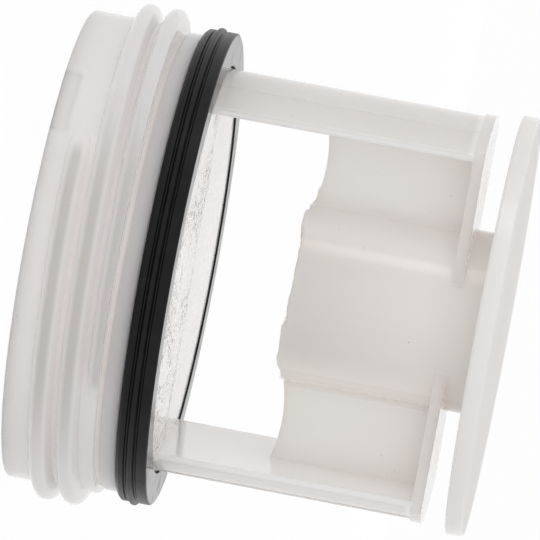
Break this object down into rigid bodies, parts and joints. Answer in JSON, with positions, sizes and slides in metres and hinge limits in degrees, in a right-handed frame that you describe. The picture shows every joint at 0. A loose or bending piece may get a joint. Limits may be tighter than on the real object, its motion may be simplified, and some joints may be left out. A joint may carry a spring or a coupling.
{
  "type": "lint filter",
  "caption": "Drain pump lint filter: threaded screw cap with a finger grip, rubber seal, arms and wings round a hub, and an end disc.",
  "frame": {"origin": "on the axis, in the plane of the cap's rim, on which the filter stands", "axes": "+Z along the axis from the cap to the end disc; the arms and wings lie in the XZ plane"},
  "size_m": [0.0634, 0.0634, 0.0573],
  "materials": {
    "moulding": "translucent white, satin",
    "seal": "black, slight sheen"
  },
  "bodies": {
    "root": {"filter_body": "moulding", "seal_ring": "seal"}
  },
  "joints": []
}
